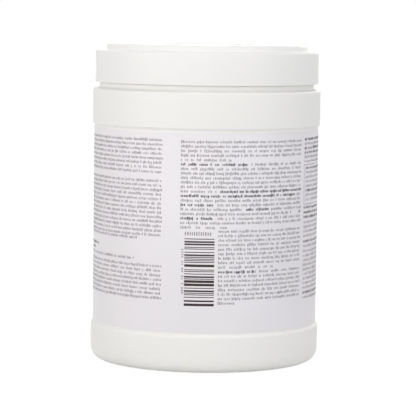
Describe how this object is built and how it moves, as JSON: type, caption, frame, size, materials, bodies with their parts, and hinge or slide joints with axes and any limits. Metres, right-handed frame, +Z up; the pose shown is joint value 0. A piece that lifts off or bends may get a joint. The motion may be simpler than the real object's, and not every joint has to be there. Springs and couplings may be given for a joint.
{
  "type": "wipes canister",
  "caption": "Upright round plastic tub of wet wipes with a wrap label, a screw lid and a flip cap over a star-shaped dispensing hole.",
  "frame": {"origin": "centre of the base, on the surface it stands on", "axes": "+Z up along the canister's axis, -Y towards the front of the label"},
  "size_m": [0.1274, 0.1274, 0.1765],
  "materials": {
    "tub_plastic": "satin",
    "lid_plastic": "satin",
    "label_film": "satin",
    "nonwoven": "matte"
  },
  "bodies": {
    "canister": {"canister": "tub_plastic", "label": "label_film", "wipes_roll": "nonwoven"},
    "lead_wipe": {"lead_wipe": "nonwoven"},
    "lid": {"lid": "lid_plastic"},
    "flip_cap": {"flip_cap": "lid_plastic"}
  },
  "joints": [
    {"name": "lid_lift", "type": "slide", "parent": "canister", "child": "lead_wipe", "axis": [0, 0, 1], "range_m": [0, 0.02035]},
    {"name": "lid_turn", "type": "hinge", "parent": "lead_wipe", "child": "lid", "pos_m": [0, 0, 0.155], "axis": [0, 0, 1], "range_deg": [0, 1440]},
    {"name": "cap_hinge", "type": "hinge", "parent": "lid", "child": "flip_cap", "pos_m": [0, 0.0252, 0.1738], "axis": [-1, 0, 0], "range_deg": [0, 110]}
  ],
  "couplings": [
    {"joint": "lid_lift", "follows": "lid_turn", "m_per_rad": 0.00080851}
  ]
}
